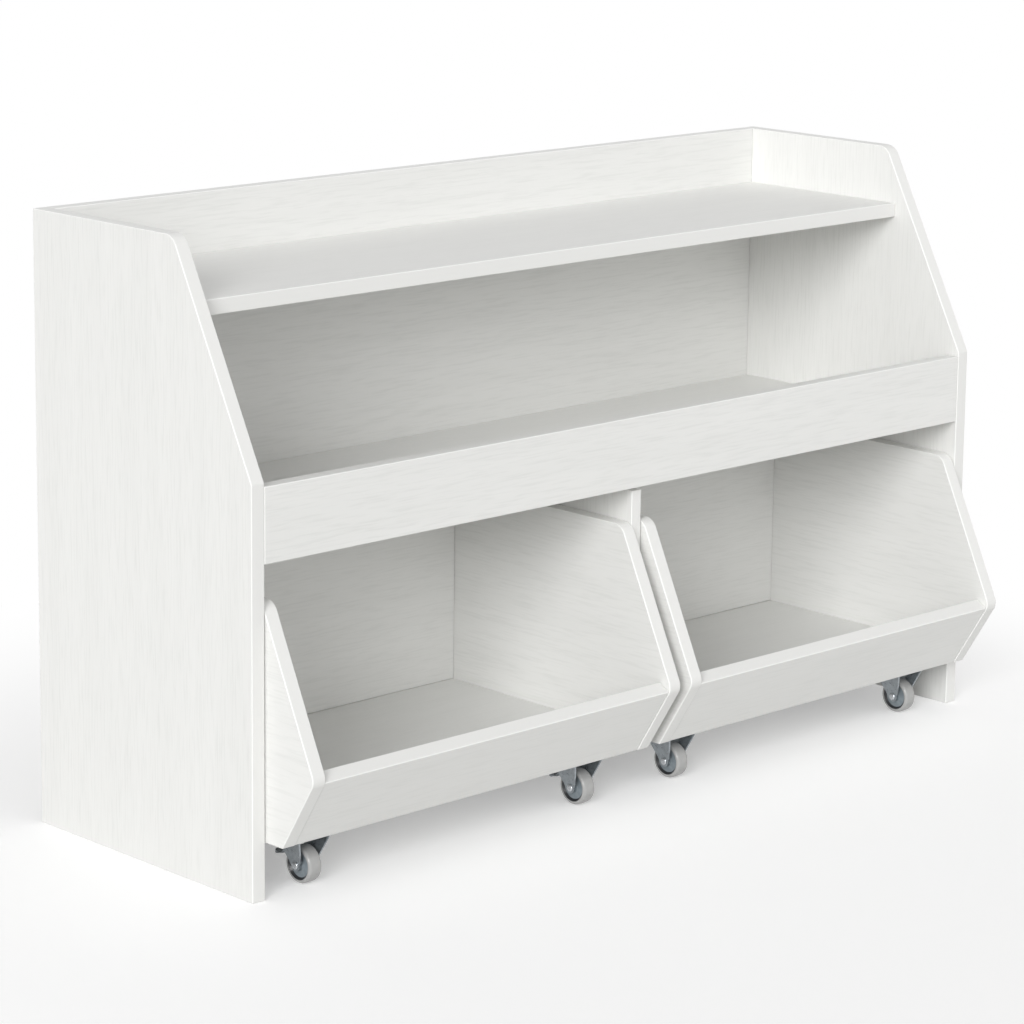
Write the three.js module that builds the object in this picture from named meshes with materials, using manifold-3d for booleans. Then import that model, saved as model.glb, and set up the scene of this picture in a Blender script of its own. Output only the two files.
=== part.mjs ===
// Toy storage bookcase: a low case with two shelves, over two open-front bins that roll out on casters.
// Millimetres, +X to the viewer's right, +Y to the back, +Z up. The origin is on the floor, under the middle.
import * as THREE from "three";
import { mergeVertices } from "three/addons/utils/BufferGeometryUtils.js";
import Module from "manifold-3d";

const wasm = await Module();
wasm.setup();

// Case: overall sizes
const CASE_WIDTH = 1060;
const CASE_DEPTH = 340;

// Boards
const SIDE_BOARD = 16;
const UPPER_SHELF_BOARD = 16;
const MIDDLE_SHELF_BOARD = 12;
const BACK_BOARD = 15;
const RAIL_BOARD = 16;
const DIVIDER_BOARD = 14;
const BIN_SIDE_BOARD = 16;
const BIN_FRONT_BOARD = 16;
const BIN_BACK_BOARD = 16;
const BIN_FLOOR_BOARD = 18;

// Seam left where one piece butts against another
const SEAM = 0.2;

// Heights, from the floor upwards: the casters lift the bins, and the case is stacked over them
const BIN_HEIGHT = 239;
const BIN_HEAD_GAP = 38;
const RAIL_HEIGHT = 76;
const MIDDLE_SHELF_DROP = 5;
const MIDDLE_SPACE = 218;
const UPPER_SPACE = 64;
const BACK_FOOT_GAP = 20;
const DIVIDER_FOOT_GAP = 70;

// Outline of the case's side panels
const TOP_EDGE_LENGTH = 223;
const KNEE_ABOVE_RAIL = 4;
const CASE_TOP_RADIUS = 18;
const CASE_KNEE_RADIUS = 8;
const SHELF_SETBACK = 17;
const DIVIDER_SETBACK = 8;

// Bins: sizes measured from the case's front plane and from the bin's own underside
const BIN_SIDE_GAP = 1.2;
const BIN_REAR_GAP = 48;
const BIN_KNEE_PROUD = 71;
const BIN_FOOT_PROUD = 24;
const BIN_KNEE_RISE = 76;
const BIN_TOP_SETBACK = 6;
const BIN_TOP_RADIUS = 17;
const BIN_KNEE_RADIUS = 14;
const BIN_FRONT_RECESS = 0.8;
const BIN_FRONT_DROP = 4;

// Casters: places of the kingpins under a bin
const CASTER_SIDE_INSET = 63;
const FRONT_CASTER_SETBACK = 32;
const REAR_CASTER_INSET = 50;

// Wheel and axle
const WHEEL_DIAMETER = 38;
const WHEEL_WIDTH = 16;
const TREAD_DEPTH = 5.2;
const TREAD_SHOULDER = 2.8;
const WEB_RECESS = 3.5;
const HUB_DIAMETER = 11;
const HUB_PROUD = 0.5;
const AXLE_DIAMETER = 5;
const AXLE_HEAD_DIAMETER = 8.4;
const AXLE_HEAD_HEIGHT = 1.6;
const BORE_CLEARANCE = 0.3;

// Fork
const FORK_SHEET = 2;
const FORK_SIDE_PLAY = 0.5;
const FORK_CROWN_GAP = 13;
const FORK_SPLAY = 7.5;
const FORK_STRAIGHT = 6;
const FORK_FRONT_REACH = 21;
const FORK_BACK_REACH = 24;
const FORK_EYE_RADIUS = 6;
const FORK_BACK_BEND = 16;
const FORK_BEND_RISE = 15;
const RACE_DIAMETER = 34;
const CASTER_TRAIL = 14;

// Top plate, with its raceway, kingpin and screws
const PLATE_LENGTH = 38;
const PLATE_WIDTH = 44;
const PLATE_SHEET = 2;
const PLATE_RADIUS = 5;
const RACEWAY_DIAMETER = 31;
const RACEWAY_NECK_DIAMETER = 25;
const RACEWAY_HEIGHT = 2.4;
const RACEWAY_CLEARANCE = 0.3;
const KINGPIN_DIAMETER = 8;
const KINGPIN_HEAD_DIAMETER = 12;
const KINGPIN_HEAD_HEIGHT = 2;
const SCREW_HEAD_DIAMETER = 7;
const SCREW_HEAD_HEIGHT = 1.4;
const SCREW_INSET = 5.2;

// Brake pedal, hinged behind each front wheel of the left bin. Its angles are measured at the axle, from level up.
const PEDAL_SHEET = 2;
const PEDAL_BARREL_DIAMETER = 4.8;
const PEDAL_WHEEL_GAP = 2.6;
const PEDAL_PIVOT_ANGLE = 52;
const PEDAL_ELBOW_ANGLE = 23;
const PEDAL_TOE_LENGTH = 15;
const PEDAL_TOE_DROP = 6;
const PEDAL_RIM_DEPTH = 4.5;
const PEDAL_TOE_RADIUS = 6;
const PEDAL_SIDE_PLAY = 0.4;

// Facets, and how far a cutting solid reaches past what it cuts
const ARC_STEPS = 4;
const WHEEL_SEGMENTS = 24;
const RACE_SEGMENTS = 16;
const PIN_SEGMENTS = 12;
const SHOULDER_STEPS = 2;
const EYE_STEPS = 8;
const CUT_MARGIN = 1;

// Heights that follow from the stack
const wheelRadius = WHEEL_DIAMETER / 2;
const crownUnder = wheelRadius * 2 + FORK_CROWN_GAP;
const crownTop = crownUnder + FORK_SHEET;
const plateUnder = crownTop + RACEWAY_CLEARANCE + RACEWAY_HEIGHT;
const binUnder = plateUnder + PLATE_SHEET + SEAM;
const binTop = binUnder + BIN_HEIGHT;
const railUnder = binTop + BIN_HEAD_GAP;
const railTop = railUnder + RAIL_HEIGHT;
const middleShelfUnder = railUnder - MIDDLE_SHELF_DROP;
const middleShelfTop = middleShelfUnder + MIDDLE_SHELF_BOARD;
const upperShelfUnder = middleShelfTop + MIDDLE_SPACE;
const upperShelfTop = upperShelfUnder + UPPER_SHELF_BOARD;
const caseTop = upperShelfTop + UPPER_SPACE;

// Depths, measured back from the case's front plane
const backFace = CASE_DEPTH - BACK_BOARD;
const caseKneeHeight = railTop + KNEE_ABOVE_RAIL;
const caseTopSetback = CASE_DEPTH - TOP_EDGE_LENGTH;
const slopeRun = caseTopSetback / (caseTop - caseKneeHeight);
const upperShelfFront = (upperShelfTop - caseKneeHeight) * slopeRun + SHELF_SETBACK;
const binRear = backFace - BIN_REAR_GAP;

// Widths
const insideHalf = CASE_WIDTH / 2 - SIDE_BOARD;
const bayWidth = insideHalf - DIVIDER_BOARD / 2;
const binHalf = bayWidth / 2 - BIN_SIDE_GAP;
const binCentre = DIVIDER_BOARD / 2 + bayWidth / 2;
const binInsideHalf = binHalf - BIN_SIDE_BOARD;

// Materials
const melamine = { color: 0xeeeeea, roughness: 0.5, metalness: 0 };
const zinc = { color: 0x9aa3a8, roughness: 0.35, metalness: 0.9 };
const darkZinc = { color: 0x5c646b, roughness: 0.4, metalness: 0.8 };
const rubber = { color: 0x9b9b9a, roughness: 0.6, metalness: 0 };

// A named mesh with a material of its own.
function piece(name, geometry, look) {
  const mesh = new THREE.Mesh(geometry, new THREE.MeshStandardMaterial(look));
  mesh.name = name;
  return mesh;
}

// A square-edged board or block between two values on each axis.
function block(name, look, [x0, x1], [y0, y1], [z0, z1]) {
  const mesh = piece(name, new THREE.BoxGeometry(x1 - x0, y1 - y0, z1 - z0), look);
  mesh.position.set((x0 + x1) / 2, (y0 + y1) / 2, (z0 + z1) / 2);
  return mesh;
}

// A closed outline through [u, v, radius] corners, counterclockwise, each rounded by its own radius.
function outline(corners) {
  const shape = new THREE.Shape();
  corners.forEach(([u, v, radius = 0], i) => {
    const corner = new THREE.Vector2(u, v);
    const toLast = new THREE.Vector2(...corners.at(i - 1)).sub(corner).normalize();
    const toNext = new THREE.Vector2(...corners[(i + 1) % corners.length]).sub(corner).normalize();
    const half = Math.acos(toLast.dot(toNext)) / 2;
    const start = corner.clone().addScaledVector(toLast, radius / Math.tan(half));
    if (i === 0) shape.moveTo(start.x, start.y);
    else shape.lineTo(start.x, start.y);
    if (radius === 0) return;
    const end = corner.clone().addScaledVector(toNext, radius / Math.tan(half));
    const inward = toLast.clone().add(toNext).normalize();
    const centre = corner.clone().addScaledVector(inward, radius / Math.sin(half));
    const from = start.clone().sub(centre).angle();
    const to = end.clone().sub(centre).angle();
    shape.absarc(centre.x, centre.y, radius, from, to, false);
  });
  return shape;
}

function extrude(shape, depth) {
  return new THREE.ExtrudeGeometry(shape, { depth, bevelEnabled: false, curveSegments: ARC_STEPS });
}

// An outline in Y and Z, extruded along X from one value to another.
function acrossX(shape, x0, x1) {
  const geometry = extrude(shape, x1 - x0);
  const turn = new THREE.Matrix4();
  turn.makeBasis(new THREE.Vector3(0, 1, 0), new THREE.Vector3(0, 0, 1), new THREE.Vector3(1, 0, 0));
  return geometry.applyMatrix4(turn).translate(x0, 0, 0);
}

// An outline in X and Z, extruded along Y from one value to another.
function acrossY(shape, y0, y1) {
  return extrude(shape, y1 - y0).rotateX(Math.PI / 2).translate(0, y1, 0);
}

// An outline in X and Y, extruded along Z from one value to another.
function acrossZ(shape, z0, z1) {
  return extrude(shape, z1 - z0).translate(0, 0, z0);
}

// A [radius, height] profile turned round the Z axis.
function turned(profile, segments) {
  const points = profile.map(([r, h]) => new THREE.Vector2(r, h));
  return new THREE.LatheGeometry(points, segments).rotateX(Math.PI / 2);
}

function disc(radius, z0, z1, segments) {
  return turned([[0, z0], [radius, z0], [radius, z1], [0, z1]], segments);
}

// A closed geometry as a solid that can be joined and cut.
function solid(geometry) {
  const bare = geometry.clone();
  bare.deleteAttribute("normal");
  bare.deleteAttribute("uv");
  const { attributes, index } = mergeVertices(bare, 1e-3);
  const mesh = { numProp: 3, vertProperties: attributes.position.array, triVerts: index.array };
  return new wasm.Manifold(new wasm.Mesh(mesh));
}

// A solid's surface as a geometry.
function surface(joined) {
  const mesh = joined.getMesh();
  const geometry = new THREE.BufferGeometry();
  geometry.setAttribute("position", new THREE.BufferAttribute(mesh.vertProperties, 3));
  geometry.setIndex(new THREE.BufferAttribute(mesh.triVerts, 1));
  geometry.computeVertexNormals();
  return geometry;
}

// Case side panel: square at the back, sloped in front from the rounded top corner down to the knee.
function caseSideOutline() {
  return outline([
    [0, 0],
    [CASE_DEPTH, 0],
    [CASE_DEPTH, caseTop],
    [caseTopSetback, caseTop, CASE_TOP_RADIUS],
    [0, caseKneeHeight, CASE_KNEE_RADIUS],
  ]);
}

function makeCase() {
  const group = new THREE.Group();
  const inside = [-insideHalf + SEAM, insideHalf - SEAM];
  const behind = backFace - SEAM;
  const middleDepth = [RAIL_BOARD + SEAM, behind];
  const side = caseSideOutline();
  group.add(
    piece("case_side_left", acrossX(side, -insideHalf - SIDE_BOARD, -insideHalf), melamine),
    piece("case_side_right", acrossX(side, insideHalf, insideHalf + SIDE_BOARD), melamine),
    block("back_panel", melamine, inside, [backFace, CASE_DEPTH], [BACK_FOOT_GAP, caseTop]),
    block("upper_shelf", melamine, inside, [upperShelfFront, behind], [upperShelfUnder, upperShelfTop]),
    block("middle_shelf", melamine, inside, middleDepth, [middleShelfUnder, middleShelfTop]),
    block("front_rail", melamine, inside, [0, RAIL_BOARD], [railUnder, railTop]),
    block(
      "centre_divider",
      melamine,
      [-DIVIDER_BOARD / 2, DIVIDER_BOARD / 2],
      [DIVIDER_SETBACK, behind],
      [DIVIDER_FOOT_GAP, middleShelfUnder - SEAM],
    ),
  );
  return group;
}

// Lean of a bin's lower front edge, from the foot up to the knee, against the vertical.
const frontLean = Math.atan2(BIN_KNEE_PROUD - BIN_FOOT_PROUD, BIN_KNEE_RISE);
const kneeHeight = binUnder + BIN_KNEE_RISE;

function binSideOutline() {
  return outline([
    [-BIN_FOOT_PROUD, binUnder],
    [binRear, binUnder],
    [binRear, binTop],
    [BIN_TOP_SETBACK, binTop, BIN_TOP_RADIUS],
    [-BIN_KNEE_PROUD, kneeHeight, BIN_KNEE_RADIUS],
  ]);
}

// The point of a bin's slanted front at a depth into the board and a height over the bin's underside.
function frontLine(depth, rise) {
  return [-BIN_FOOT_PROUD + depth / Math.cos(frontLean) - rise * Math.tan(frontLean), binUnder + rise];
}

// Slanted front panel: level along its foot, square along its top edge.
function binFrontOutline() {
  const slope = Math.hypot(BIN_KNEE_PROUD - BIN_FOOT_PROUD, BIN_KNEE_RISE) - BIN_FRONT_DROP;
  const outer = BIN_FRONT_RECESS;
  const inner = outer + BIN_FRONT_BOARD;
  const riseAt = (depth) => slope * Math.cos(frontLean) + depth * Math.sin(frontLean);
  return outline([
    frontLine(outer, 0),
    frontLine(inner, 0),
    frontLine(inner, riseAt(inner)),
    frontLine(outer, riseAt(outer)),
  ]);
}

// Floor panel: its front edge is cut to the slant of the front panel's inner face.
function binFloorOutline() {
  const inner = BIN_FRONT_RECESS + BIN_FRONT_BOARD + SEAM;
  return outline([
    frontLine(inner, 0),
    [binRear, binUnder],
    [binRear, binUnder + BIN_FLOOR_BOARD],
    frontLine(inner, BIN_FLOOR_BOARD),
  ]);
}

function makeBin(name, frontCastersLock) {
  const group = new THREE.Group();
  const side = binSideOutline();
  const inside = [-binInsideHalf + SEAM, binInsideHalf - SEAM];
  group.add(
    piece(`${name}_side_left`, acrossX(side, -binHalf, -binInsideHalf), melamine),
    piece(`${name}_side_right`, acrossX(side, binInsideHalf, binHalf), melamine),
    piece(`${name}_front_panel`, acrossX(binFrontOutline(), ...inside), melamine),
    piece(`${name}_floor`, acrossX(binFloorOutline(), ...inside), melamine),
    block(
      `${name}_back_panel`,
      melamine,
      inside,
      [binRear - BIN_BACK_BOARD, binRear],
      [binUnder + BIN_FLOOR_BOARD + SEAM, binTop],
    ),
  );
  for (const [end, depth] of [
    ["front", FRONT_CASTER_SETBACK],
    ["rear", binRear - REAR_CASTER_INSET],
  ]) {
    for (const [hand, sign] of [
      ["left", -1],
      ["right", 1],
    ]) {
      const locking = frontCastersLock && end === "front";
      const caster = makeCaster(`${name}_${end}_${hand}_caster`, locking);
      caster.position.set(sign * (binHalf - CASTER_SIDE_INSET), depth, 0);
      group.add(caster);
    }
  }
  return group;
}

// Half the inner width of the fork at a height over the axle: straight by the wheel, then splayed.
const forkHalf = WHEEL_WIDTH / 2 + HUB_PROUD + FORK_SIDE_PLAY;
const crownRise = crownUnder - wheelRadius;
function forkInside(rise) {
  const splayed = Math.max(0, rise - FORK_STRAIGHT) / (crownRise - FORK_STRAIGHT);
  return forkHalf + FORK_SPLAY * splayed;
}

// Rim of the fork's eye round the axle, between the straight edges that run up to a front and a back corner.
function eyeEdge(front, back) {
  const touch = ([y, z]) => Math.acos(FORK_EYE_RADIUS / Math.hypot(y, z));
  const from = Math.atan2(front[1], front[0]) + touch(front);
  const to = Math.atan2(back[1], back[0]) - touch(back) + 2 * Math.PI;
  const edge = [];
  for (let i = 0; i <= EYE_STEPS; i++) {
    const angle = from + ((to - from) * i) / EYE_STEPS;
    edge.push([FORK_EYE_RADIUS * Math.cos(angle), FORK_EYE_RADIUS * Math.sin(angle)]);
  }
  return edge;
}

// Fork: a sheet bent down on both sides of the wheel and trimmed to its side view, with the lower race on top.
// It is made round the axle, which lies forward of the kingpin by the trail.
function makeForkSolid() {
  const low = -FORK_EYE_RADIUS;
  const crownHalf = forkInside(crownRise);
  const bent = outline([
    [-forkHalf - FORK_SHEET, low],
    [-forkHalf, low],
    [-forkHalf, FORK_STRAIGHT],
    [-crownHalf, crownRise],
    [crownHalf, crownRise],
    [forkHalf, FORK_STRAIGHT],
    [forkHalf, low],
    [forkHalf + FORK_SHEET, low],
    [forkHalf + FORK_SHEET, FORK_STRAIGHT],
    [crownHalf + FORK_SHEET, crownRise + FORK_SHEET],
    [-crownHalf - FORK_SHEET, crownRise + FORK_SHEET],
    [-forkHalf - FORK_SHEET, FORK_STRAIGHT],
  ]);
  const frontCorner = [-FORK_FRONT_REACH, crownRise + FORK_SHEET];
  const backCorner = [FORK_BACK_REACH, crownRise + FORK_SHEET];
  const backBend = [FORK_BACK_BEND, FORK_BEND_RISE];
  const trim = outline([...eyeEdge(frontCorner, backBend), backBend, backCorner, frontCorner]);
  const halfWidth = crownHalf + FORK_SHEET;
  const ribbon = solid(acrossY(bent, -FORK_FRONT_REACH, FORK_BACK_REACH));
  const legs = ribbon.intersect(solid(acrossX(trim, -halfWidth, halfWidth)));
  const race = disc(RACE_DIAMETER / 2, crownRise, crownRise + FORK_SHEET, RACE_SEGMENTS);
  const crownRange = [crownRise - CUT_MARGIN, crownRise + FORK_SHEET + CUT_MARGIN];
  const pinHole = disc(KINGPIN_DIAMETER / 2 + BORE_CLEARANCE, ...crownRange, RACE_SEGMENTS);
  const axleHole = disc(AXLE_DIAMETER / 2 + BORE_CLEARANCE, -halfWidth, halfWidth, PIN_SEGMENTS);
  return legs
    .add(solid(race.translate(0, CASTER_TRAIL, 0)))
    .subtract(solid(pinHole.translate(0, CASTER_TRAIL, 0)))
    .subtract(solid(axleHole.rotateY(Math.PI / 2)));
}

// Wheel: a rounded tread round a recessed web, with a hub that stands a little proud.
function makeWheelGeometry() {
  const half = WHEEL_WIDTH / 2;
  const bore = AXLE_DIAMETER / 2 + BORE_CLEARANCE;
  const web = wheelRadius - TREAD_DEPTH;
  const shoulder = [];
  for (let i = 0; i <= SHOULDER_STEPS; i++) {
    const turn = ((i / SHOULDER_STEPS) * Math.PI) / 2;
    shoulder.push([
      wheelRadius - TREAD_SHOULDER * (1 - Math.sin(turn)),
      half - TREAD_SHOULDER * (1 - Math.cos(turn)),
    ]);
  }
  const oneSide = [
    [bore, half + HUB_PROUD],
    [HUB_DIAMETER / 2, half + HUB_PROUD],
    [HUB_DIAMETER / 2, half - WEB_RECESS],
    [web, half - WEB_RECESS],
    [web, half],
    ...shoulder,
  ];
  const otherSide = oneSide.map(([r, x]) => [r, -x]).reverse();
  const profile = [...oneSide, ...otherSide, oneSide[0]].reverse();
  return turned(profile, WHEEL_SEGMENTS).rotateY(Math.PI / 2);
}

// Axle: a rivet with a domed head outside each fork leg.
function makeAxleGeometry() {
  const shank = AXLE_DIAMETER / 2;
  const head = AXLE_HEAD_DIAMETER / 2;
  const seat = forkHalf + FORK_SHEET + SEAM;
  const end = seat + AXLE_HEAD_HEIGHT;
  const oneSide = [
    [shank, seat],
    [head, seat],
    [head * 0.75, seat + AXLE_HEAD_HEIGHT * 0.7],
    [0, end],
  ];
  const otherSide = oneSide.map(([r, x]) => [r, -x]).reverse();
  return turned([...otherSide, ...oneSide], PIN_SEGMENTS).rotateY(Math.PI / 2);
}

// Top plate: a rounded plate with the upper raceway and the kingpin below it, and its four screw heads.
function makePlateSolid() {
  const raceUnder = plateUnder - RACEWAY_HEIGHT;
  const headTop = crownUnder - RACEWAY_CLEARANCE;
  const raceway = turned(
    [
      [0, headTop - KINGPIN_HEAD_HEIGHT],
      [KINGPIN_HEAD_DIAMETER / 2, headTop - KINGPIN_HEAD_HEIGHT],
      [KINGPIN_HEAD_DIAMETER / 2, headTop],
      [KINGPIN_DIAMETER / 2, headTop],
      [KINGPIN_DIAMETER / 2, raceUnder],
      [RACEWAY_DIAMETER / 2, raceUnder],
      [RACEWAY_DIAMETER / 2, raceUnder + RACEWAY_HEIGHT / 3],
      [RACEWAY_NECK_DIAMETER / 2, raceUnder + (RACEWAY_HEIGHT * 2) / 3],
      [RACEWAY_NECK_DIAMETER / 2, plateUnder + PLATE_SHEET / 2],
      [0, plateUnder + PLATE_SHEET / 2],
    ],
    RACE_SEGMENTS,
  );
  const corners = [
    [-1, -1],
    [1, -1],
    [1, 1],
    [-1, 1],
  ];
  const rim = corners.map(([sx, sy]) => [(sx * PLATE_WIDTH) / 2, (sy * PLATE_LENGTH) / 2, PLATE_RADIUS]);
  let plate = solid(acrossZ(outline(rim), plateUnder, plateUnder + PLATE_SHEET)).add(solid(raceway));
  for (const [sx, sy] of corners) {
    const head = disc(
      SCREW_HEAD_DIAMETER / 2,
      plateUnder - SCREW_HEAD_HEIGHT,
      plateUnder + PLATE_SHEET / 2,
      PIN_SEGMENTS,
    );
    head.translate(sx * (PLATE_WIDTH / 2 - SCREW_INSET), sy * (PLATE_LENGTH / 2 - SCREW_INSET), 0);
    plate = plate.add(solid(head));
  }
  return plate;
}

// A point of the brake pedal in Y and Z, as far from the axle as the pedal's pivot, at an angle over level.
function pedalPoint(angle) {
  const reach = wheelRadius + PEDAL_WHEEL_GAP + PEDAL_BARREL_DIAMETER / 2;
  const turn = THREE.MathUtils.degToRad(angle);
  return [reach * Math.cos(turn), reach * Math.sin(turn)];
}

// Brake pedal: a barrel between the fork's legs, an arm down behind the wheel, and a rounded toe plate whose end
// turns down.
function makePedalSolid() {
  const radius = PEDAL_BARREL_DIAMETER / 2;
  const half = PEDAL_SHEET / 2;
  const [pivotBack, pivotRise] = pedalPoint(PEDAL_PIVOT_ANGLE);
  const [elbowBack, elbowRise] = pedalPoint(PEDAL_ELBOW_ANGLE);
  const toeBack = elbowBack + PEDAL_TOE_LENGTH;
  const toeRise = elbowRise - PEDAL_TOE_DROP;
  const barrelHalf = forkInside(pivotRise - radius) - PEDAL_SIDE_PLAY;
  const barrel = disc(radius, -barrelHalf, barrelHalf, PIN_SEGMENTS).rotateY(Math.PI / 2);
  const bent = outline([
    [pivotBack - half, pivotRise],
    [elbowBack - half, elbowRise - half],
    [toeBack - PEDAL_SHEET, toeRise - half],
    [toeBack - PEDAL_SHEET, toeRise + half - PEDAL_RIM_DEPTH],
    [toeBack, toeRise + half - PEDAL_RIM_DEPTH],
    [toeBack, toeRise + half],
    [elbowBack + half, elbowRise + half],
    [pivotBack + half, pivotRise],
  ]);
  const toeHalf = forkHalf - PEDAL_SIDE_PLAY;
  const plan = outline([
    [-toeHalf, pivotBack - radius],
    [toeHalf, pivotBack - radius],
    [toeHalf, toeBack, PEDAL_TOE_RADIUS],
    [-toeHalf, toeBack, PEDAL_TOE_RADIUS],
  ]);
  const lever = solid(acrossX(bent, -toeHalf, toeHalf)).intersect(solid(acrossZ(plan, 0, crownRise)));
  return lever.add(solid(barrel.translate(0, pivotBack, pivotRise)));
}

const forkSolid = makeForkSolid();
const plateSolid = makePlateSolid();
const pedalSolid = makePedalSolid();

// A swivel caster, with its kingpin on the group's own Z axis and its wheel trailing to the front.
function makeCaster(name, locking) {
  const group = new THREE.Group();
  const swivel = new THREE.Group();
  swivel.position.set(0, -CASTER_TRAIL, wheelRadius);
  group.add(piece(`${name}_plate`, surface(plateSolid), zinc), swivel);
  swivel.add(
    piece(`${name}_fork`, surface(forkSolid), zinc),
    piece(`${name}_axle`, makeAxleGeometry(), zinc),
    piece(`${name}_wheel`, makeWheelGeometry(), rubber),
  );
  if (locking) swivel.add(piece(`${name}_brake_pedal`, surface(pedalSolid), darkZinc));
  return group;
}

// The whole bookcase, moved so that its middle is over the origin. The bins' knees are foremost.
const bookcase = new THREE.Group();
const content = new THREE.Group();
content.add(makeCase());
for (const [name, sign, frontCastersLock] of [
  ["left_bin", -1, true],
  ["right_bin", 1, false],
]) {
  const bin = makeBin(name, frontCastersLock);
  bin.position.x = sign * binCentre;
  content.add(bin);
}
const foremost = Math.min(...binSideOutline().getPoints(ARC_STEPS).map((point) => point.x));
content.position.y = -(CASE_DEPTH + foremost) / 2;
bookcase.add(content);

export default bookcase;
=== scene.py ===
import math

import bmesh
import bpy
from mathutils import Matrix, Vector


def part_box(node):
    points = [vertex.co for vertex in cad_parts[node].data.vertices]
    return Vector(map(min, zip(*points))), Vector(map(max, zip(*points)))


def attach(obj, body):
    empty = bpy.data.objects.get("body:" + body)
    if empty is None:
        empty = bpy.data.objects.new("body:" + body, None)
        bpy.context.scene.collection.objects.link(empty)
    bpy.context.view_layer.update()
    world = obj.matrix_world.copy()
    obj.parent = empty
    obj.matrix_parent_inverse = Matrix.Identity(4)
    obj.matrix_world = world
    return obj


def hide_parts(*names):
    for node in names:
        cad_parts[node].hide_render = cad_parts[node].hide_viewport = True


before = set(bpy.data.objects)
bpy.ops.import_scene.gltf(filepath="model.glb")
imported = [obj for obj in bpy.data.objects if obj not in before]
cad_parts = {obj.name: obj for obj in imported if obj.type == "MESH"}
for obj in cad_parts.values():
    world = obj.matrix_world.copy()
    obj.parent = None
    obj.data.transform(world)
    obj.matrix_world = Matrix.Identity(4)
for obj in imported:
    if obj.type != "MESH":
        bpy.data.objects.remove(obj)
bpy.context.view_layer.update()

MM = 0.001

# Camera, fitted to the photograph
IMAGE_SIZE = 1024
SENSOR_WIDTH = 36.0
FOCAL_PIXELS = 3603.6
PRINCIPAL_ROW = 410
CAMERA_PLACE = (-2.64837, -2.69498, 1.16941)
CAMERA_HEADING = 43.84
CAMERA_DROP = 11.58
CAMERA_ROLL = 0.67

# Light: the key lamp stands to the left of the front, and the soft light is stronger in front than behind
KEY_AZIMUTH = 60.0
KEY_ELEVATION = 20.5
KEY_STRENGTH = 1.78
KEY_ANGLE = 26.0
AMBIENT = 0.858
AMBIENT_TILT = (0.045, -0.25, -0.5)

# Floor
FLOOR_RADIUS = 60.0
FLOOR_SEGMENTS = 96
FLOOR_BOUNCE = (0.72, 0.72, 0.71, 1)
FLOOR_SHADED = 0.83
FLOOR_LIFT = 0.30
SHADOW_CENTRE = (-0.15, -0.25, 0)
SHADOW_REACH = (0.55, 1.2)

# Boards
BOARD_EDGE_RADIUS = 1.1 * MM
SHARP_ANGLE = 30.0
BIN_FRONT_LEAN = 31.73

# Casters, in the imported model's sizes but for the fork's reach and crease and the pedal's bend and rim
WHEEL_RADIUS = 19 * MM
WHEEL_HALF = 8 * MM
TREAD_DEPTH = 3.6 * MM
TREAD_SHOULDER = 3 * MM
TREAD_CROWN = 0.25 * MM
RIM_LIP = 0.4 * MM
RIM_SETBACK = 0.4 * MM
RIM_WALL = 1.9 * MM
WEB_RECESS = 2.8 * MM
HUB_RADIUS = 5.5 * MM
HUB_HALF = 8.5 * MM
AXLE_RADIUS = 2.5 * MM
BORE_RADIUS = 2.8 * MM
RIVET_SEAT = 11.2 * MM
RIVET_HEAD_RADIUS = 4.2 * MM
RIVET_HEAD_HEIGHT = 1.6 * MM
SHEET = 2 * MM
FORK_HALF = 10 * MM
FORK_CROWN_HALF = 17.5 * MM
FORK_STRAIGHT = 6 * MM
FORK_CROWN_RISE = 33 * MM
FORK_EYE = 6 * MM
FORK_REACH = (-18.5 * MM, 24 * MM)
FORK_BACK_BEND = (16 * MM, 15 * MM)
FORK_FRONT_FLARE = 0.3
FORK_BACK_FLARE = 0.13
FORK_BACK_RADIUS = 10 * MM
FORK_SPLAY_RADIUS = 16 * MM
FORK_CROWN_RADIUS = 3.5 * MM
FORK_COLUMNS = 16
FORK_FOOT_STEPS = 10
TRAIL = 14 * MM
RACE_RADIUS = 17 * MM
CROWN_UNDER = 51 * MM
RACEWAY_UNDER = 53.3 * MM
RACEWAY_HEIGHT = 2.4 * MM
RACEWAY_RADIUS = 15.5 * MM
RACEWAY_NECK = 12.5 * MM
PLATE_UNDER = 55.7 * MM
PLATE_TOP = 57.7 * MM
PLATE_HALF_WIDTH = 22 * MM
PLATE_HALF_LENGTH = 19 * MM
PLATE_CORNER = 5 * MM
SCREW_INSET = 5.2 * MM
SCREW_RADIUS = 3.5 * MM
SCREW_HEIGHT = 1.4 * MM
KINGPIN_RADIUS = 4 * MM
KINGPIN_HEAD_RADIUS = 6 * MM
PEDAL_PIVOT = (14.776 * MM, 18.912 * MM)
PEDAL_ELBOW = (24.2 * MM, 6.3 * MM)
PEDAL_TOE = (37.09 * MM, 6.8 * MM)
PEDAL_RIM_DEPTH = 3.2 * MM
PEDAL_HALF = 8.6 * MM
PEDAL_TOE_RADIUS = 6 * MM
PEDAL_ELBOW_RADIUS = 5 * MM
PEDAL_COLUMNS = 8
PEDAL_BARREL_RADIUS = 2.4 * MM
PEDAL_BARREL_HALF = 11.6 * MM
SHEET_RIM = 0.35 * MM
ROUND = 48

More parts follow.
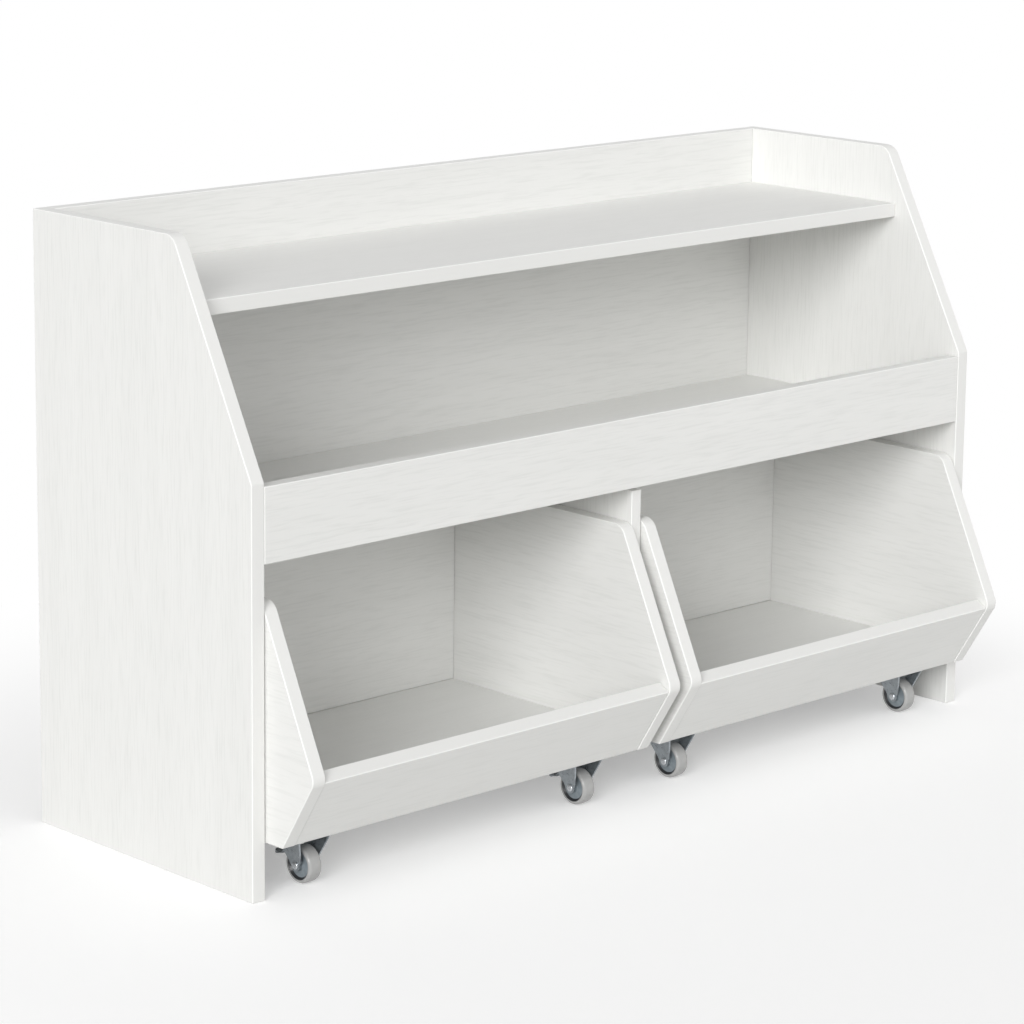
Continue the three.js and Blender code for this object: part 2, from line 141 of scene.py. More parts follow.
# Melamine: grain, its bands and its sway, and how far a face may turn from broadside for grain and corners
BOARD_WHITE = (0.842, 0.842, 0.824, 1)
BOARD_STREAK = (0.765, 0.768, 0.748, 1)
# Painted highlight: the rounded board corners are painted this lighter white
CORNER_HIGHLIGHT_WHITE = (0.93, 0.93, 0.915, 1)
GRAIN_ALONG = 24.0
GRAIN_ACROSS = 430.0
GRAIN_LEVELS = (0.44, 0.72)
GRAIN_SHARE = 0.75
BAND_ALONG = 3.0
BAND_ACROSS = 42.0
BAND_LEVELS = (0.36, 0.66)
SWAY_ALONG = 16.0
SWAY_ACROSS = 40.0
SWAY = 2 * MM
BROADSIDE_FACING = (0.75, 0.97)
CORNER_RISE = (0.05, 0.35)
CORNER_FALL = (0.98, 0.86)
BOARD_ROUGHNESS = (0.42, 0.54)
CORNER_GLOSS = 0.18
EMBOSS = 0.05 * MM
EMBOSS_STRENGTH = 0.5
FULL_GRAIN = 0.8
SLANTED_GRAIN = 0.5
LEVEL_GRAIN = 0.35

# Caster finishes: a light and a dark shade of each
ZINC_SHADES = ((0.43, 0.465, 0.49, 1), (0.34, 0.37, 0.395, 1))
RIVET_SHADES = ((0.72, 0.74, 0.76, 1), (0.60, 0.63, 0.66, 1))
PEDAL_SHADES = ((0.40, 0.43, 0.455, 1), (0.31, 0.335, 0.36, 1))
RUBBER_SHADES = ((0.44, 0.44, 0.435, 1), (0.41, 0.41, 0.405, 1))
CORE_SHADES = ((0.255, 0.295, 0.32, 1), (0.205, 0.24, 0.265, 1))
# Near-black rim wall of the wheel core: a darker rim, and painted shade of the recess
CORE_RIM_TONE_AND_SHADE = (0.035, 0.037, 0.04, 1)
MOTTLE_SCALE = 260.0
MOTTLE_ROUGHNESS = 0.14
SKIN_SCALE = 900.0
SKIN_DEPTH = 0.01 * MM
CLOUD_SCALE = 180.0


# Meshes

def new_mesh(name, rows, close_rows=False, close_columns=False, sharp=35.0):
    """Mesh of quads over rows of points. Rings that shrink to one point are merged there."""
    shape = bmesh.new()
    grid = [[shape.verts.new(point) for point in row] for row in rows]
    row_count = len(grid) if close_rows else len(grid) - 1
    columns = len(grid[0])
    column_count = columns if close_columns else columns - 1
    for i in range(row_count):
        low, high = grid[i], grid[(i + 1) % len(grid)]
        for j in range(column_count):
            k = (j + 1) % columns
            shape.faces.new((low[j], low[k], high[k], high[j]))
    bmesh.ops.remove_doubles(shape, verts=shape.verts, dist=1e-6)
    return finish_mesh(name, shape, sharp)


def finish_mesh(name, shape, sharp=35.0):
    """Turns a bmesh into a smooth mesh whose edges are sharp above an angle in degrees."""
    bmesh.ops.recalc_face_normals(shape, faces=shape.faces)
    mesh = bpy.data.meshes.new(name)
    shape.to_mesh(mesh)
    shape.free()
    mesh.shade_smooth()
    mesh.set_sharp_from_angle(angle=math.radians(sharp))
    return mesh


def rounded(corners, closed=True, steps=6):
    """Points through (u, v) or (u, v, radius) corners, with an arc at each corner that has a radius."""
    points = []
    for i, (u, v, *radius) in enumerate(corners):
        corner = Vector((u, v))
        at_end = not closed and i in (0, len(corners) - 1)
        if at_end or not radius:
            points.append(corner)
            continue
        before = (Vector(corners[i - 1][:2]) - corner).normalized()
        after = (Vector(corners[(i + 1) % len(corners)][:2]) - corner).normalized()
        half = before.angle(after) / 2
        centre = corner + (before + after).normalized() * radius[0] / math.sin(half)
        start = corner + before * radius[0] / math.tan(half) - centre
        end = corner + after * radius[0] / math.tan(half) - centre
        sweep = start.angle_signed(end)
        for step in range(steps + 1):
            points.append(centre + Matrix.Rotation(-sweep * step / steps, 2) @ start)
    return points


def turned(name, profile, segments=ROUND, closed=False, along="Z"):
    """Mesh of (radius, height) points turned round the Z or X axis."""
    rows = []
    for i in range(segments):
        angle = 2 * math.pi * i / segments
        side, up = math.cos(angle), math.sin(angle)
        if along == "Z":
            rows.append([(r * side, r * up, h) for r, h in profile])
        else:
            rows.append([(h, r * side, r * up) for r, h in profile])
    return new_mesh(name, rows, close_rows=True, close_columns=closed)


def slab(name, outline, low, high, edge):
    """Mesh of an outline in X and Y between two heights, with its rims rounded."""
    shape = bmesh.new()
    base = shape.faces.new([shape.verts.new((x, y, low)) for x, y in outline])
    top = bmesh.ops.extrude_face_region(shape, geom=[base])["geom"]
    lifted = [v for v in top if isinstance(v, bmesh.types.BMVert)]
    bmesh.ops.translate(shape, verts=lifted, vec=(0, 0, high - low))
    rims = [e for e in shape.edges if abs(e.verts[0].co.z - e.verts[1].co.z) < edge]
    bmesh.ops.bevel(shape, geom=rims, offset=edge, segments=2, affect="EDGES", profile=0.5)
    return finish_mesh(name, shape, 50.0)


def span(outline, height):
    """Lowest and highest u of a closed outline of (u, v) points at a height v."""
    crossings = []
    for (u0, v0), (u1, v1) in zip(outline, outline[1:] + outline[:1]):
        if min(v0, v1) <= height <= max(v0, v1):
            share = 0.5 if v0 == v1 else (height - v0) / (v1 - v0)
            crossings += [u0, u1] if v0 == v1 else [u0 + (u1 - u0) * share]
    return min(crossings), max(crossings)


# Materials

def add(tree, kind, inputs=None, **settings):
    """Adds a node with its settings, and sets or links its inputs."""
    made = tree.nodes.new(kind)
    for name, value in settings.items():
        setattr(made, name, value)
    for name, value in (inputs or {}).items():
        socket = made.inputs[name]
        if isinstance(value, bpy.types.NodeSocket):
            tree.links.new(value, socket)
        else:
            socket.default_value = value
    return made


def new_material(name, **finish):
    """A material, its node tree and its shader, with the shader's plain values set."""
    material = bpy.data.materials.new(name)
    material.use_nodes = True
    tree = material.node_tree
    shader = tree.nodes["Principled BSDF"]
    for socket, value in finish.items():
        shader.inputs[socket.replace("_", " ")].default_value = value
    return material, tree, shader


def noise(tree, place, scale, detail=3.0, roughness=0.55):
    """Noise over a place, with one scale or a scale for each axis."""
    if not isinstance(scale, (int, float)):
        place = add(tree, "ShaderNodeMapping", {"Vector": place, "Scale": scale}).outputs[0]
        scale = 1.0
    inputs = {"Vector": place, "Scale": scale, "Detail": detail, "Roughness": roughness}
    return add(tree, "ShaderNodeTexNoise", inputs)


def between(tree, value, start, end, low=0.0, high=1.0):
    """A value mapped smoothly from start and end to low and high."""
    inputs = {"Value": value, "From Min": start, "From Max": end, "To Min": low, "To Max": high}
    return add(tree, "ShaderNodeMapRange", inputs, interpolation_type="SMOOTHSTEP").outputs[0]


def maths(tree, operation, first, second):
    made = add(tree, "ShaderNodeMath", operation=operation)
    for socket, value in zip(made.inputs, (first, second)):
        if isinstance(value, bpy.types.NodeSocket):
            tree.links.new(value, socket)
        else:
            socket.default_value = value
    return made.outputs[0]


def ramp(tree, factor, *stops):
    """Colour ramp through (place, colour) stops."""
    made = add(tree, "ShaderNodeValToRGB", {"Fac": factor})
    elements = made.color_ramp.elements
    while len(elements) < len(stops):
        elements.new(0.5)
    for element, (place, colour) in zip(elements, stops):
        element.position = place
        element.color = colour
    return made.outputs["Color"]


def bump(tree, shader, height, distance, strength=1.0):
    inputs = {"Height": height, "Distance": distance, "Strength": strength}
    made = add(tree, "ShaderNodeBump", inputs)
    tree.links.new(made.outputs["Normal"], shader.inputs["Normal"])


def mixed_colour(tree, factor, first, second):
    """First where the factor is 0 and second where it is 1."""
    made = add(tree, "ShaderNodeMix", data_type="RGBA")
    tree.links.new(factor, made.inputs["Factor"])
    tree.links.new(first, made.inputs[6])
    made.inputs[7].default_value = second
    return made.outputs[2]


def stretched(grain, along, across):
    return [along if axis == grain else across for axis in "XYZ"]


def melamine(name, grain, face, depth):
    """White melamine with an embossed wood grain of some depth along one axis, on the faces that look along
    the face vector. The narrow edges are plain, and the corners between the two are glossier and painted
    lighter, a painted highlight."""
    material, tree, shader = new_material(name, Specular_IOR_Level=0.45)
    coordinates = add(tree, "ShaderNodeTexCoord").outputs
    place = coordinates["Object"]
    sway = noise(tree, place, stretched(grain, SWAY_ALONG, SWAY_ACROSS), 1.0).outputs["Color"]
    centred = add(tree, "ShaderNodeVectorMath", {0: sway, 1: (0.5, 0.5, 0.5)}, operation="SUBTRACT")
    moved = {0: centred.outputs[0], 1: (SWAY,) * 3, 2: place}
    shifted = add(tree, "ShaderNodeVectorMath", moved, operation="MULTIPLY_ADD").outputs[0]
    fine = noise(tree, shifted, stretched(grain, GRAIN_ALONG, GRAIN_ACROSS), 4.0).outputs["Fac"]
    broad = noise(tree, shifted, stretched(grain, BAND_ALONG, BAND_ACROSS), 2.0).outputs["Fac"]
    streak = maths(tree, "MULTIPLY", between(tree, fine, *GRAIN_LEVELS), GRAIN_SHARE)
    band = maths(tree, "MULTIPLY", between(tree, broad, *BAND_LEVELS), 1 - GRAIN_SHARE)
    pattern = maths(tree, "ADD", streak, band)
    dot = add(tree, "ShaderNodeVectorMath", {0: coordinates["Normal"], 1: face}, operation="DOT_PRODUCT")
    facing = maths(tree, "ABSOLUTE", dot.outputs["Value"], 0.0)
    broadside = between(tree, facing, *BROADSIDE_FACING, 0.0, depth)
    grained = maths(tree, "MULTIPLY", pattern, broadside)
    rise = between(tree, facing, *CORNER_RISE)
    corner = maths(tree, "MULTIPLY", rise, between(tree, facing, *CORNER_FALL))
    board = ramp(tree, grained, (0, BOARD_WHITE), (1, BOARD_STREAK))
    # Corners mixed towards the lighter white: painted highlight along the rounded edges
    tree.links.new(mixed_colour(tree, corner, board, CORNER_HIGHLIGHT_WHITE), shader.inputs["Base Color"])
    grain_roughness = between(tree, grained, 0, 1, *BOARD_ROUGHNESS)
    buffed = maths(tree, "MULTIPLY", corner, CORNER_GLOSS)
    tree.links.new(maths(tree, "SUBTRACT", grain_roughness, buffed), shader.inputs["Roughness"])
    bump(tree, shader, grained, EMBOSS, EMBOSS_STRENGTH)
    return material


def zinc(name, shades, roughness):
    """Zinc-plated sheet steel, dulled by its passivation: cold grey, faintly mottled."""
    light, dark = shades
    material, tree, shader = new_material(name, Metallic=0.85)
    place = add(tree, "ShaderNodeTexCoord").outputs["Object"]
    mottle = noise(tree, place, MOTTLE_SCALE, 3.0).outputs["Fac"]
    tree.links.new(ramp(tree, mottle, (0.35, dark), (0.65, light)), shader.inputs["Base Color"])
    uneven = between(tree, mottle, 0.3, 0.7, roughness, roughness + MOTTLE_ROUGHNESS)
    tree.links.new(uneven, shader.inputs["Roughness"])
    bump(tree, shader, noise(tree, place, SKIN_SCALE, 2.0).outputs["Fac"], SKIN_DEPTH, 0.3)
    return material


def moulded(name, shades, roughness, rim=None):
    """Moulded rubber or plastic, faintly clouded. A near-black rim colour covers the wheel core's rim wall,
    round
    the X axis: darker plastic there, and painted shade of the deep recess."""
    light, dark = shades
    material, tree, shader = new_material(name, Roughness=roughness)
    place = add(tree, "ShaderNodeTexCoord").outputs["Object"]
    cloud = noise(tree, place, CLOUD_SCALE, 3.0).outputs["Fac"]
    colour = ramp(tree, cloud, (0.3, dark), (0.7, light))
    if rim:
        spoke = add(tree, "ShaderNodeVectorMath", {0: place, 1: (0, 1, 1)}, operation="MULTIPLY").outputs[0]
        radius = add(tree, "ShaderNodeVectorMath", {0: spoke}, operation="LENGTH").outputs["Value"]
        wall = WHEEL_RADIUS - TREAD_DEPTH - RIM_LIP - RIM_WALL
        outward = between(tree, radius, wall - 0.5 * MM, wall + 0.3 * MM)
        # Rim wall mixed to near-black: painted shade of the recess on a darker rim
        colour = mixed_colour(tree, outward, colour, rim)
    tree.links.new(colour, shader.inputs["Base Color"])
    return material


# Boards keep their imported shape. Modifiers clean the mesh and round its edges.

def dress_board(node, material):
    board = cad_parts[node]
    board.material_slots[0].material = material
    board.data.shade_smooth()
    board.data.attributes.remove(board.data.attributes["custom_normal"])
    weld = board.modifiers.new("weld", "WELD")
    weld.merge_threshold = 0.01 * MM
    clean = board.modifiers.new("clean", "DECIMATE")
    clean.decimate_type = "DISSOLVE"
    clean.angle_limit = math.radians(0.5)
    edge = board.modifiers.new("edge", "BEVEL")
    edge.width = BOARD_EDGE_RADIUS
    edge.segments = 3
    edge.limit_method = "ANGLE"
    edge.angle_limit = math.radians(SHARP_ANGLE)
    shade = board.modifiers.new("shade", "WEIGHTED_NORMAL")
    shade.weight = 100


def dress_boards():
    lean = math.radians(BIN_FRONT_LEAN)
    upright_x = melamine("melamine_upright", "Z", (1, 0, 0), FULL_GRAIN)
    cross_y = melamine("melamine_cross", "X", (0, 1, 0), FULL_GRAIN)
    cross_z = melamine("melamine_level", "X", (0, 0, 1), LEVEL_GRAIN)
    bin_x = melamine("melamine_bin_side", "Y", (1, 0, 0), FULL_GRAIN)
    slanted = melamine("melamine_bin_front", "X", (0, math.cos(lean), math.sin(lean)), SLANTED_GRAIN)
    looks = {
        "case_side_left": upright_x,
        "case_side_right": upright_x,
        "centre_divider": upright_x,
        "back_panel": cross_y,
        "front_rail": cross_y,
        "upper_shelf": cross_z,
        "middle_shelf": cross_z,
    }
    for name in ("left_bin", "right_bin"):
        looks[f"{name}_side_left"] = bin_x
        looks[f"{name}_side_right"] = bin_x
        looks[f"{name}_back_panel"] = cross_y
        looks[f"{name}_floor"] = cross_z
        looks[f"{name}_front_panel"] = slanted
    for node, material in looks.items():
        dress_board(node, material)


# Casters: one set of meshes, shared by all eight

def tyre_mesh():
    bond = WHEEL_RADIUS - TREAD_DEPTH
    half = WHEEL_HALF
    shoulder = TREAD_SHOULDER
    flank = rounded(
        [
            (bond, half - 2 * RIM_SETBACK),
            (bond, half, 0.15 * MM),
            (WHEEL_RADIUS - TREAD_CROWN, half, shoulder),
            (WHEEL_RADIUS, 0),
        ],
        closed=False,
    )[:-1]
    mirrored = [(r, -x) for r, x in reversed(flank)]
    return turned("caster_tyre", [*flank, (WHEEL_RADIUS, 0), *mirrored], closed=True, along="X")


def core_mesh():
    rim = WHEEL_RADIUS - TREAD_DEPTH
    web = WHEEL_HALF - WEB_RECESS
    face = rounded(
        [
            (BORE_RADIUS, HUB_HALF),
            (HUB_RADIUS, HUB_HALF, 0.8 * MM),
            (HUB_RADIUS + 0.6 * MM, web + 0.6 * MM, 1.2 * MM),
            (rim - RIM_LIP - RIM_WALL, web, 0.5 * MM),
            (rim - RIM_LIP, WHEEL_HALF - RIM_SETBACK, 0.3 * MM),
            (rim, WHEEL_HALF - RIM_SETBACK),
        ],
        closed=False,
    )
    mirrored = [(r, -x) for r, x in reversed(face)]
    return turned("caster_wheel_core", [*face, *mirrored], closed=True, along="X")


def rivet_mesh():
    head = rounded(
        [
            (AXLE_RADIUS, RIVET_SEAT),
            (RIVET_HEAD_RADIUS, RIVET_SEAT, 0.3 * MM),
            (RIVET_HEAD_RADIUS * 0.82, RIVET_SEAT + RIVET_HEAD_HEIGHT * 0.75, 1.2 * MM),
            (0, RIVET_SEAT + RIVET_HEAD_HEIGHT),
        ],
        closed=False,
    )
    mirrored = [(r, -x) for r, x in reversed(head)]
    return turned("caster_rivet", [*mirrored, *head], segments=24, along="X")


def eye_edge(front, back, steps=24):
    """Rim of the fork's eye round the axle, between the straight edges up to a front and a back corner."""
    turns = []
    for (y, z), side in ((front, 1), (back, -1)):
        turns.append(math.atan2(z, y) + side * math.acos(FORK_EYE / math.hypot(y, z)))
    first, last = turns[0], turns[1] + 2 * math.pi
    angles = [first + (last - first) * step / steps for step in range(steps + 1)]
    return [(FORK_EYE * math.cos(angle), FORK_EYE * math.sin(angle)) for angle in angles]


def fork_mesh():
    """Sheet bent down on both sides of the wheel: stations along the bend, columns from front to back. The
    legs flare out before and behind a crease over the axle."""
    front_corner = (FORK_REACH[0], FORK_CROWN_RISE + SHEET / 2)
    back_corner = (FORK_REACH[1], FORK_CROWN_RISE + SHEET / 2)
    eye = eye_edge(front_corner, FORK_BACK_BEND)
    sides = rounded([*eye, (*FORK_BACK_BEND, FORK_BACK_RADIUS), back_corner, front_corner])
    trim = [tuple(point) for point in sides]
    lowest = min(z for y, z in trim)
    bend = rounded(
        [
            (-FORK_HALF, lowest),
            (-FORK_HALF, FORK_STRAIGHT, FORK_SPLAY_RADIUS),
            (-FORK_CROWN_HALF, FORK_CROWN_RISE, FORK_CROWN_RADIUS),
            (0, FORK_CROWN_RISE),
        ],
        closed=False,
        steps=8,
    )
    foot = [
        Vector((-FORK_HALF, lowest * math.cos(0.5 * math.pi * step / FORK_FOOT_STEPS)))
        for step in range(FORK_FOOT_STEPS)
    ]
    leg = foot + bend[1:]
    path = [*leg, *(Vector((-x, z)) for x, z in reversed(leg[:-1]))]
    rows = []
    for x, z in path:
        front, back = span(trim, z)
        above_axle = min(1, max(0, z / FORK_BACK_BEND[1]))
        under_crown = min(1, max(0, (FORK_CROWN_RISE - z) / FORK_STRAIGHT))
        row = []
        for j in range(FORK_COLUMNS + 1):
            y = front + (back - front) * j / FORK_COLUMNS
            flare = above_axle * under_crown * max(-FORK_FRONT_FLARE * y, FORK_BACK_FLARE * y)
            row.append((x + math.copysign(flare, x), y, z))
        rows.append(row)
    return new_mesh("caster_fork_sheet", rows, sharp=20.0)


def race_mesh():
    profile = rounded(
        [
            (KINGPIN_RADIUS + 0.3 * MM, CROWN_UNDER - 0.15 * MM),
            (RACE_RADIUS, CROWN_UNDER - 0.15 * MM, 0.9 * MM),
            (RACE_RADIUS, CROWN_UNDER + SHEET + 0.1 * MM, 0.9 * MM),
            (KINGPIN_RADIUS + 0.3 * MM, CROWN_UNDER + SHEET + 0.1 * MM),
        ],
    )
    return turned("caster_lower_race", profile, closed=True)


def raceway_mesh():
    head_top = CROWN_UNDER - 0.3 * MM
    profile = rounded(
        [
            (0, head_top - SHEET),
            (KINGPIN_HEAD_RADIUS, head_top - SHEET, 1.2 * MM),
            (KINGPIN_HEAD_RADIUS, head_top, 0.3 * MM),
            (KINGPIN_RADIUS, head_top),
            (KINGPIN_RADIUS, RACEWAY_UNDER),
            (RACEWAY_RADIUS, RACEWAY_UNDER, 0.3 * MM),
            (RACEWAY_RADIUS, RACEWAY_UNDER + RACEWAY_HEIGHT / 3, 0.4 * MM),
            (RACEWAY_NECK, RACEWAY_UNDER + RACEWAY_HEIGHT * 2 / 3, 0.4 * MM),
            (RACEWAY_NECK, PLATE_UNDER),
            (0, PLATE_UNDER + 0.2 * MM),
        ],
        closed=False,
    )
    return turned("caster_raceway", profile)


def plate_mesh():
    corners = [(-1, -1), (1, -1), (1, 1), (-1, 1)]
    outline = rounded([(sx * PLATE_HALF_WIDTH, sy * PLATE_HALF_LENGTH, PLATE_CORNER) for sx, sy in corners])
    return slab("caster_top_plate", outline, PLATE_UNDER, PLATE_TOP, 0.5 * MM)


def screw_mesh():
    profile = rounded(
        [
            (0, -SCREW_HEIGHT),
            (SCREW_RADIUS * 0.7, -SCREW_HEIGHT, 1 * MM),
            (SCREW_RADIUS, -0.5 * MM, 0.4 * MM),
            (SCREW_RADIUS, 0.2 * MM),
            (0, 0.2 * MM),
        ],
        closed=False,
    )
    return turned("caster_screw", profile, segments=20)


def pedal_mesh():
    """Bent lever behind the wheel, whose toe has rounded corners and a rim turned down round it, as a sheet
    for the solidify modifier."""
    line = rounded([PEDAL_PIVOT, (*PEDAL_ELBOW, PEDAL_ELBOW_RADIUS), PEDAL_TOE], closed=False, steps=8)
    toe = Vector(PEDAL_TOE)
    reach = (toe - line[-2]).normalized()
    curl_steps = 8
    round_end = [
        toe - reach * PEDAL_TOE_RADIUS * (1 - math.sin(0.5 * math.pi * step / curl_steps))
        for step in range(curl_steps + 1)
    ]
    rows = []
    for point in [*line[:-1], *round_end]:
        left = min(PEDAL_TOE_RADIUS, (toe - point).length)
        inset = PEDAL_TOE_RADIUS - math.sqrt(PEDAL_TOE_RADIUS**2 - (PEDAL_TOE_RADIUS - left) ** 2)
        half = PEDAL_HALF - SHEET / 2 - inset
        flat = [
            (half * (2 * j / PEDAL_COLUMNS - 1), point.x, point.y)
            for j in range(PEDAL_COLUMNS + 1)
        ]
        turned_down = PEDAL_RIM_DEPTH * min(1, max(0, (point.x - PEDAL_ELBOW[0]) / PEDAL_TOE_RADIUS))
        drop = max(0.02 * MM, turned_down - SHEET / 2)
        rows.append([(-half, point.x, point.y - drop), *flat, (half, point.x, point.y - drop)])
    end = [(x, y, z - (PEDAL_RIM_DEPTH - SHEET / 2)) for x, y, z in rows[-1][1:-1]]
    rows.append([rows[-1][0], *end, rows[-1][-1]])
    return new_mesh("caster_pedal_lever", rows)


def barrel_mesh():
    profile = rounded(
        [
            (0, -PEDAL_BARREL_HALF),
            (PEDAL_BARREL_RADIUS, -PEDAL_BARREL_HALF, 0.5 * MM),
            (PEDAL_BARREL_RADIUS, PEDAL_BARREL_HALF, 0.5 * MM),
            (0, PEDAL_BARREL_HALF),
        ],
        closed=False,
        steps=3,
    )
    return turned("caster_pedal_barrel", profile, segments=24, along="X")


def thicken(piece):
    """Gives a sheet its thickness and softens its rim."""
    solid = piece.modifiers.new("sheet", "SOLIDIFY")
    solid.thickness = SHEET
    solid.offset = 0
    rim = piece.modifiers.new("rim", "BEVEL")
    rim.width = SHEET_RIM
    rim.segments = 2
    rim.limit_method = "ANGLE"
    rim.angle_limit = math.radians(50)


def make_casters():
    meshes = {
        "tyre": tyre_mesh(),
        "core": core_mesh(),
        "rivet": rivet_mesh(),
        "fork": fork_mesh(),
        "race": race_mesh(),
        "raceway": raceway_mesh(),
        "plate": plate_mesh(),
        "screw": screw_mesh(),
        "lever": pedal_mesh(),
        "barrel": barrel_mesh(),
    }
    plated = zinc("zinc_plate", ZINC_SHADES, 0.26)
    rivet_steel = zinc("rivet_steel_plate", RIVET_SHADES, 0.2)
    pedal_steel = zinc("pedal_steel_plate", PEDAL_SHADES, 0.3)
    rubber = moulded("tyre_rubber", RUBBER_SHADES, 0.22)
    core_plastic = moulded("wheel_core_plastic", CORE_SHADES, 0.28, rim=CORE_RIM_TONE_AND_SHADE)
    for name, mesh, material in [
        ("tyre", "tyre", rubber),
        ("core", "core", core_plastic),
        ("rivet", "rivet", rivet_steel),
        ("fork", "fork", plated),
        ("race", "race", plated),
        ("raceway", "raceway", plated),
        ("plate", "plate", plated),
        ("screw", "screw", rivet_steel),
        ("lever", "lever", pedal_steel),
        ("barrel", "barrel", pedal_steel),
    ]:
        meshes[mesh].materials.append(material)
    for bin_name in ("left_bin", "right_bin"):
        for end in ("front", "rear"):
            for hand in ("left", "right"):
                make_caster(meshes, bin_name, end, hand)


def make_caster(meshes, bin_name, end, hand):
    """Places one caster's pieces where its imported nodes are, each on its own body."""
    corner = f"{bin_name}_{end}_{hand}"
    caster = f"{corner}_caster"
    low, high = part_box(f"{caster}_wheel")
    axle = (low + high) / 2
    kingpin = Vector((axle.x, axle.y + TRAIL, 0))

    def put(mesh, label, place, body, node):
        piece = bpy.data.objects.new(f"{caster}_{label}", meshes[mesh])
        piece.location = place
        bpy.context.scene.collection.objects.link(piece)
        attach(piece, body)
        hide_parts(node)
        return piece

    put("tyre", "tyre", axle, f"{corner}_wheel", f"{caster}_wheel")
    put("core", "wheel_core", axle, f"{corner}_wheel", f"{caster}_wheel")
    put("rivet", "rivet", axle, f"{corner}_swivel", f"{caster}_axle")
    fork = put("fork", "fork_sheet", axle, f"{corner}_swivel", f"{caster}_fork")
    thicken(fork)
    put("race", "lower_race", kingpin, f"{corner}_swivel", f"{caster}_fork")
    put("raceway", "raceway", kingpin, bin_name, f"{caster}_plate")
    put("plate", "top_plate", kingpin, bin_name, f"{caster}_plate")
    for across, across_name in ((-1, "left"), (1, "right")):
        for along, along_name in ((-1, "front"), (1, "back")):
            offset = Vector(
                (
                    across * (PLATE_HALF_WIDTH - SCREW_INSET),
                    along * (PLATE_HALF_LENGTH - SCREW_INSET),
                    PLATE_UNDER,
                )
            )
            label = f"screw_{along_name}_{across_name}"
            put("screw", label, kingpin + offset, bin_name, f"{caster}_plate")
    if bin_name == "left_bin" and end == "front":
        pedal = f"{caster}_brake_pedal"
        lever = put("lever", "pedal_lever", axle, f"{corner}_brake", pedal)
        thicken(lever)
        pivot = axle + Vector((0, *PEDAL_PIVOT))
        put("barrel", "pedal_barrel", pivot, f"{corner}_brake", pedal)


# Studio

def seen_rays(tree):
    """One for rays from the camera, reflections and transmission, which see the white background."""
    path = add(tree, "ShaderNodeLightPath").outputs
    seen = maths(tree, "MAXIMUM", path["Is Camera Ray"], path["Is Glossy Ray"])
    return maths(tree, "MAXIMUM", seen, path["Is Transmission Ray"])


def mix_shaders(tree, factor, first, second):
    return add(tree, "ShaderNodeMixShader", {0: factor, 1: first, 2: second}).outputs[0]


def make_world():
    world = bpy.data.worlds.new("studio")
    bpy.context.scene.world = world
    world.use_nodes = True
    tree = world.node_tree
    tree.nodes.clear()
    toward = add(tree, "ShaderNodeTexCoord").outputs["Generated"]
    tilt = add(tree, "ShaderNodeVectorMath", {0: toward, 1: AMBIENT_TILT}, operation="DOT_PRODUCT")
    level = maths(tree, "ADD", tilt.outputs["Value"], AMBIENT)
    ambient = add(tree, "ShaderNodeBackground", {"Color": (1, 1, 1, 1), "Strength": level})
    white = add(tree, "ShaderNodeBackground", {"Color": (1, 1, 1, 1), "Strength": 1.0})
    mixed = mix_shaders(tree, seen_rays(tree), ambient.outputs[0], white.outputs[0])
    add(tree, "ShaderNodeOutputWorld", {"Surface": mixed})


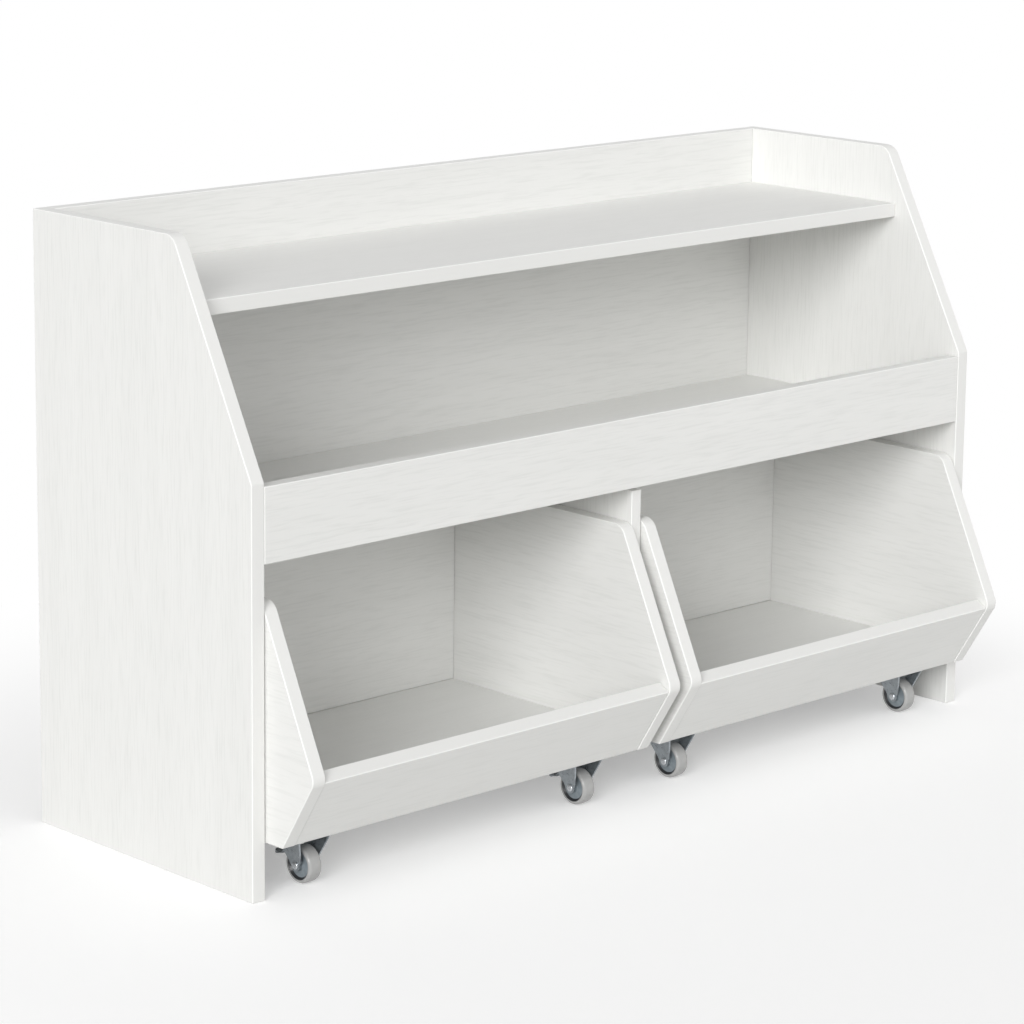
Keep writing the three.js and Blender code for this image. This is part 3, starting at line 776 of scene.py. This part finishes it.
def make_floor():
    """Pale floor: it shows the object's shadow near the object and is plain white farther off."""
    shape = bmesh.new()
    bmesh.ops.create_circle(shape, cap_ends=True, radius=FLOOR_RADIUS, segments=FLOOR_SEGMENTS)
    floor = bpy.data.objects.new("floor", finish_mesh("floor", shape))
    bpy.context.scene.collection.objects.link(floor)
    material = bpy.data.materials.new("pale_floor")
    material.use_nodes = True
    floor.data.materials.append(material)
    tree = material.node_tree
    tree.nodes.clear()
    place = add(tree, "ShaderNodeTexCoord").outputs["Object"]
    ends = {0: place, 1: SHADOW_CENTRE}
    reach = add(tree, "ShaderNodeVectorMath", ends, operation="DISTANCE").outputs["Value"]
    far = between(tree, reach, *SHADOW_REACH)
    bounce = add(tree, "ShaderNodeBsdfDiffuse", {"Color": FLOOR_BOUNCE}).outputs[0]
    shaded = add(tree, "ShaderNodeBsdfDiffuse", {"Color": (FLOOR_SHADED,) * 3 + (1,)}).outputs[0]
    lift = add(tree, "ShaderNodeEmission", {"Color": (1, 1, 1, 1), "Strength": FLOOR_LIFT}).outputs[0]
    white = add(tree, "ShaderNodeEmission", {"Color": (1, 1, 1, 1), "Strength": 1.0}).outputs[0]
    near = add(tree, "ShaderNodeAddShader", {0: shaded, 1: lift}).outputs[0]
    shown = mix_shaders(tree, far, near, white)
    mixed = mix_shaders(tree, seen_rays(tree), bounce, shown)
    add(tree, "ShaderNodeOutputMaterial", {"Surface": mixed})


def make_key_lamp():
    lamp = bpy.data.lights.new("key", "SUN")
    lamp.energy = KEY_STRENGTH
    lamp.angle = math.radians(KEY_ANGLE)
    holder = bpy.data.objects.new("key", lamp)
    azimuth = math.radians(KEY_AZIMUTH)
    elevation = math.radians(KEY_ELEVATION)
    level = math.cos(elevation)
    toward = Vector((-math.sin(azimuth) * level, -math.cos(azimuth) * level, math.sin(elevation)))
    holder.location = toward * 3
    holder.rotation_mode = "QUATERNION"
    holder.rotation_quaternion = toward.to_track_quat("Z", "Y")
    bpy.context.scene.collection.objects.link(holder)


def make_camera():
    lens = bpy.data.cameras.new("camera")
    lens.sensor_width = SENSOR_WIDTH
    lens.lens = SENSOR_WIDTH * FOCAL_PIXELS / IMAGE_SIZE
    lens.shift_y = (PRINCIPAL_ROW - IMAGE_SIZE / 2) / IMAGE_SIZE
    lens.clip_start = 0.1
    lens.clip_end = 200
    camera = bpy.data.objects.new("camera", lens)
    heading = Matrix.Rotation(-math.radians(CAMERA_HEADING), 4, "Z")
    tilt = Matrix.Rotation(math.radians(90 - CAMERA_DROP), 4, "X")
    roll = Matrix.Rotation(math.radians(CAMERA_ROLL), 4, "Z")
    camera.matrix_world = Matrix.Translation(CAMERA_PLACE) @ heading @ tilt @ roll
    bpy.context.scene.collection.objects.link(camera)
    bpy.context.scene.camera = camera


dress_boards()
make_casters()
make_world()
make_floor()
make_key_lamp()
make_camera()
bpy.context.scene.view_settings.view_transform = "Standard"
